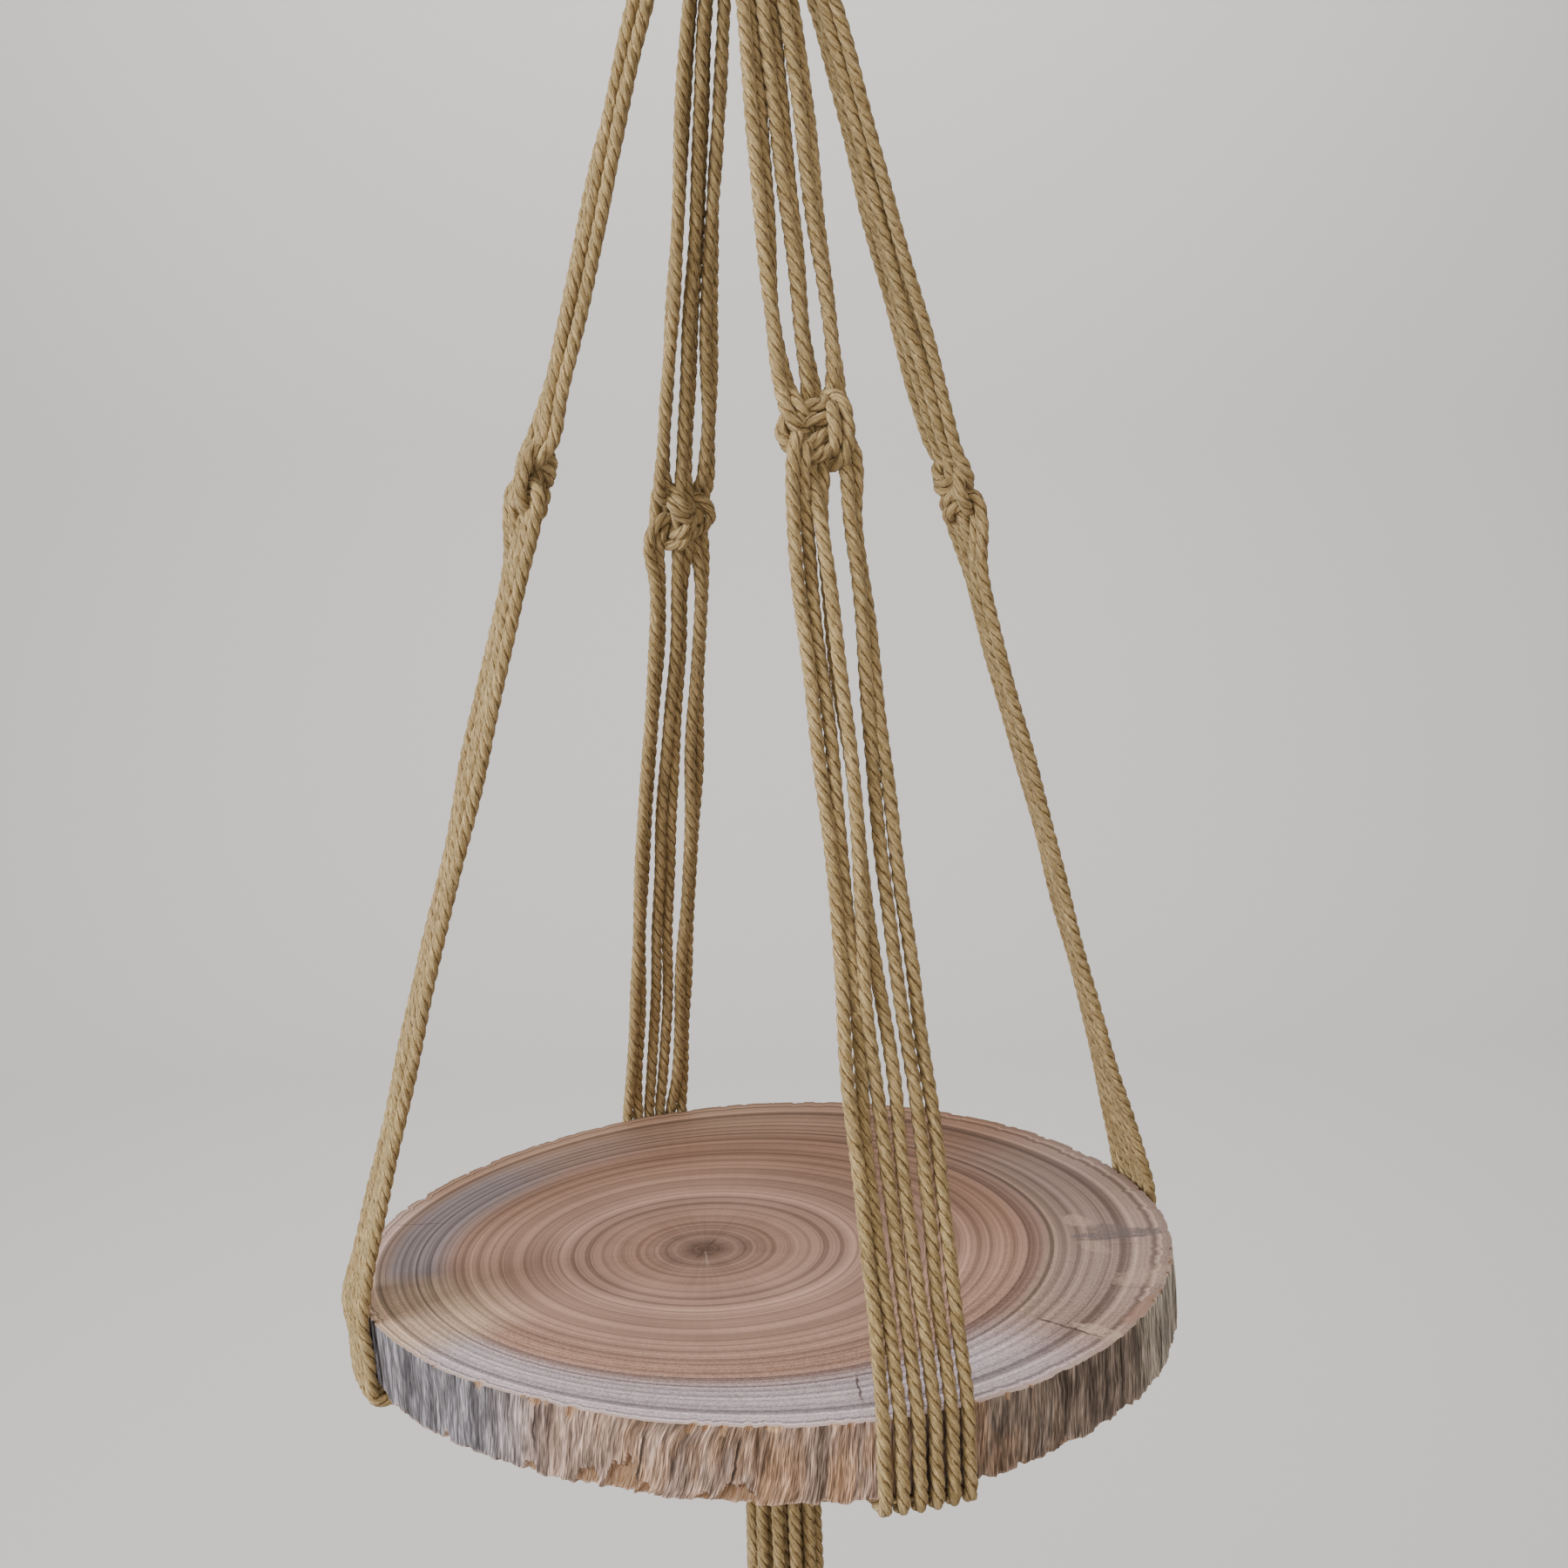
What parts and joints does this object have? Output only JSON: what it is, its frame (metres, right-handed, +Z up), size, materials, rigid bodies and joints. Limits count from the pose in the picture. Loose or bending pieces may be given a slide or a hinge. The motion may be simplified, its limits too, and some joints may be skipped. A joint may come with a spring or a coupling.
{
  "type": "macrame hanging shelf with wood round",
  "caption": "Live-edge wood round hung in knotted arms of twisted cotton cord, with a hanging loop above and a cord tail below.",
  "frame": {"origin": "the hanging point, inside the top of the cord loop", "axes": "+Z up along the plumb line; the front arm lies towards -Y, the right arm towards +X, seen from the front"},
  "size_m": [0.3265, 0.3205, 0.9479],
  "materials": {
    "cord": "matt three-ply twisted cotton, khaki",
    "wood": "sanded end grain with growth rings, rough bark rim"
  },
  "bodies": {
    "root": {"hanging_loop": "cord", "top_wrap": "cord", "sling_front": "cord", "sling_right": "cord", "sling_back": "cord", "sling_left": "cord", "wood_round": "wood", "bottom_wrap": "cord", "tail": "cord"}
  },
  "joints": []
}
